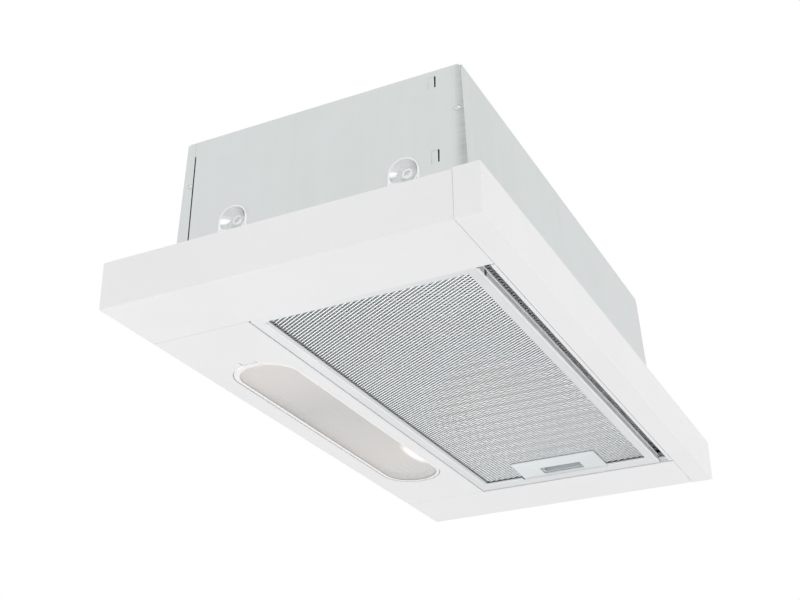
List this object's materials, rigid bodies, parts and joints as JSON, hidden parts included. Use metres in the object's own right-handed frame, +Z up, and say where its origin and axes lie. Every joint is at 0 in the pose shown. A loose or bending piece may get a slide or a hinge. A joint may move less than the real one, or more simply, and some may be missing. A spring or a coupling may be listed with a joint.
{
  "type": "telescopic range hood",
  "caption": "Telescopic range hood with a galvanised motor case, white slab with pull-out carriage, hinged grease filter, lamp lens and a round duct spigot.",
  "frame": {"origin": "middle of the footprint, on the flat underside", "axes": "+Z up into the cabinet, -Y towards the cook (the fascia side), +X to the right as seen from the front"},
  "size_m": [0.6, 0.309, 0.207],
  "materials": {
    "galvanised": "spangled zinc coat, dull",
    "white_enamel": "smooth white powder coat, low gloss",
    "zinc_screw": "zinc plated",
    "reflector_white": "matt white lamp housing",
    "holder_plastic": "ivory thermoset",
    "bulb_glass": "frosted bulb",
    "lens_clear": "translucent moulding",
    "scroll_plastic": "dark grey moulding",
    "flap_plastic": "white moulding",
    "motor_steel": "plated steel",
    "capacitor_white": "moulded case",
    "gland_black": "black nylon",
    "slider_grey": "grey knob",
    "spring_steel": "spring steel",
    "carriage_steel": "light grey coat",
    "carriage_mesh_dark": "expanded mesh",
    "filter_aluminium": "satin rolled edge",
    "filter_mesh_aluminium": "expanded mesh",
    "latch_aluminium": "satin",
    "latch_grey": "grey moulding"
  },
  "bodies": {
    "housing": {"case_front": "galvanised", "case_rear": "galvanised", "case_left": "galvanised", "case_right": "galvanised", "case_top": "galvanised", "side_cups": "galvanised", "runner_left": "galvanised", "runner_right": "galvanised", "motor_bracket": "galvanised", "capacitor_clip": "galvanised", "switch_bracket": "galvanised", "end_strip_left": "white_enamel", "end_strip_right": "white_enamel", "lamp_panel": "white_enamel", "front_rail": "white_enamel", "lens_clip": "white_enamel", "case_screws": "zinc_screw", "base_screws": "zinc_screw", "blower_screws": "zinc_screw", "lamp_reflector": "reflector_white", "lamp_holders": "holder_plastic", "terminal_box": "holder_plastic", "terminal_cover": "holder_plastic", "bulbs": "bulb_glass", "scroll_wrap": "scroll_plastic", "scroll_side_left": "scroll_plastic", "scroll_side_right": "scroll_plastic", "duct_spigot": "scroll_plastic", "motor": "motor_steel", "capacitor": "capacitor_white", "cable_gland": "gland_black", "gland_nut": "gland_black", "microswitch": "gland_black"},
    "carriage": {"fascia": "white_enamel", "front_beam": "white_enamel", "fascia_brackets": "carriage_steel", "rail_left": "carriage_steel", "rail_right": "carriage_steel", "carriage_cover": "carriage_steel", "rear_bar": "carriage_steel", "carriage_filter_frame": "carriage_mesh_dark", "carriage_mesh": "carriage_mesh_dark", "control_panel": "gland_black", "switch_box": "gland_black"},
    "fan_knob": {"fan_slider": "slider_grey"},
    "light_knob": {"light_slider": "slider_grey"},
    "grease_filter": {"filter_frame": "filter_aluminium", "filter_mesh_lower": "filter_mesh_aluminium", "filter_mesh_core": "filter_mesh_aluminium", "filter_mesh_upper": "filter_mesh_aluminium", "latch_housing": "latch_aluminium", "latch_spring": "spring_steel"},
    "latch": {"latch_slider": "latch_grey"},
    "lens": {"lamp_lens": "lens_clear"},
    "rotor": {"impeller": "scroll_plastic", "impeller_blades": "scroll_plastic", "motor_shaft": "motor_steel"},
    "front_flap": {"flap_front": "flap_plastic"},
    "rear_flap": {"flap_rear": "flap_plastic"},
    "lever": {"switch_lever": "spring_steel"}
  },
  "joints": [
    {"name": "carriage_slide", "type": "slide", "parent": "housing", "child": "carriage", "axis": [0, -1, 0], "range_m": [0, 0.16]},
    {"name": "fan_slide", "type": "slide", "parent": "carriage", "child": "fan_knob", "axis": [1, 0, 0], "range_m": [0, 0.018]},
    {"name": "light_slide", "type": "slide", "parent": "carriage", "child": "light_knob", "axis": [1, 0, 0], "range_m": [0, 0.008]},
    {"name": "filter_hinge", "type": "hinge", "parent": "housing", "child": "grease_filter", "pos_m": [-0.2298, -0.0275, 0.0016], "axis": [0, 1, 0], "range_deg": [0, 80]},
    {"name": "latch_slide", "type": "slide", "parent": "grease_filter", "child": "latch", "axis": [-1, 0, 0], "range_m": [0, 0.006], "stiffness_N_per_m": 250, "springref_m": -0.002, "deforming": ["latch_spring"]},
    {"name": "lens_hinge", "type": "hinge", "parent": "housing", "child": "lens", "pos_m": [0.1625, 0.1075, 0.0003], "axis": [0, -1, 0], "range_deg": [0, 70]},
    {"name": "rotor_spin", "type": "hinge", "parent": "housing", "child": "rotor", "pos_m": [0, 0.0515, 0.114], "axis": [1, 0, 0], "continuous": true},
    {"name": "front_flap_hinge", "type": "hinge", "parent": "housing", "child": "front_flap", "pos_m": [0, 0.0085, 0.188], "axis": [-1, 0, 0], "range_deg": [0, 80]},
    {"name": "rear_flap_hinge", "type": "hinge", "parent": "housing", "child": "rear_flap", "pos_m": [0, 0.0145, 0.188], "axis": [1, 0, 0], "range_deg": [0, 80]},
    {"name": "lever_hinge", "type": "hinge", "parent": "housing", "child": "lever", "pos_m": [-0.214, 0.0757, 0.0176], "axis": [1, 0, 0], "range_deg": [0, 10], "stiffness_Nm_per_rad": 0.004, "springref_deg": 10}
  ]
}
